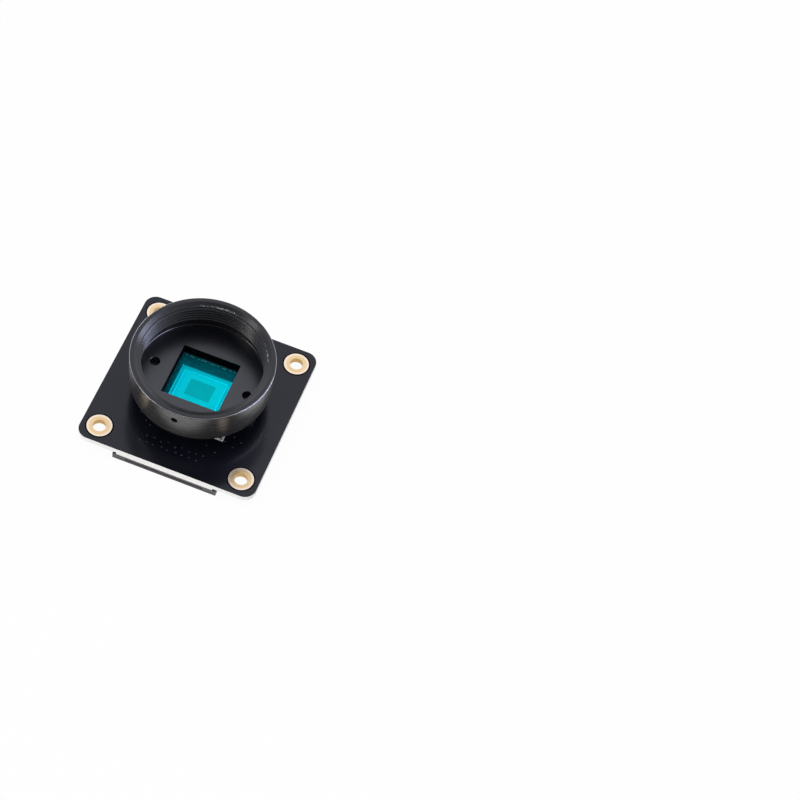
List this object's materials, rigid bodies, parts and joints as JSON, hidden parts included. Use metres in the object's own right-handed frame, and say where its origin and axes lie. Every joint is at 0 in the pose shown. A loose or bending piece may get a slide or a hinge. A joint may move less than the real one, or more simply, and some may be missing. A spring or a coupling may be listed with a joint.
{
  "type": "camera module",
  "caption": "Square board camera: an image sensor behind an infrared filter, in a black lens mount with an inside thread, with a latching flat-cable connector under the front edge.",
  "frame": {"origin": "on the optical axis, at the centre of the four fixing holes, at the board's top face", "axes": "+Z out of the lens mount, -Y towards the edge with the cable connector, X along that edge"},
  "size_m": [0.038, 0.038, 0.017],
  "materials": {
    "solder_mask": "satin black solder mask on pale glass-fibre board",
    "gold_plating": "gold-plated copper",
    "white_ink": "printed ink",
    "black_anodised": "turned aluminium, black anodised",
    "screw_steel": "nickel-plated steel",
    "black_steel": "blackened steel",
    "filter_glass": "infrared-cut filter glass, cyan",
    "clear_glue": "clear cured adhesive",
    "white_ceramic": "fired white ceramic",
    "silicon": "polished silicon",
    "microlens_film": "microlens film",
    "cover_glass": "clear cover glass",
    "housing_plastic": "moulded natural plastic",
    "latch_plastic": "moulded black plastic",
    "contact_metal": "plated spring bronze",
    "tinned_metal": "tinned metal",
    "chip_mould": "black moulding compound",
    "clock_ceramic": "glazed ceramic",
    "ferrite": "ground ferrite",
    "capacitor_ceramic": "fired ceramic",
    "resistor_glaze": "glass glaze"
  },
  "bodies": {
    "root": {"circuit_board": "solder_mask", "fixing_hole_pads": "gold_plating", "printed_outline": "white_ink", "lens_mount": "black_anodised", "mount_screws": "screw_steel", "lens_lock_screw": "black_steel", "infrared_filter": "filter_glass", "filter_glue": "clear_glue", "sensor_package": "white_ceramic", "sensor_die": "silicon", "sensor_microlenses": "microlens_film", "sensor_cover_glass": "cover_glass", "connector_housing": "housing_plastic", "connector_contacts": "contact_metal", "connector_tabs": "tinned_metal", "image_processor": "chip_mould", "memory_chip": "chip_mould", "clock_oscillator": "clock_ceramic", "clock_lid": "tinned_metal", "voltage_regulators": "chip_mould", "chip_legs": "tinned_metal", "power_inductors": "ferrite", "inductor_bases": "tinned_metal", "capacitors": "capacitor_ceramic", "small_capacitors": "capacitor_ceramic", "resistors": "resistor_glaze", "part_end_caps": "tinned_metal"},
    "latch": {"connector_latch": "latch_plastic"}
  },
  "joints": [
    {"name": "latch_slide", "type": "slide", "parent": "root", "child": "latch", "axis": [0, -1, 0], "range_m": [0, 0.001]}
  ]
}
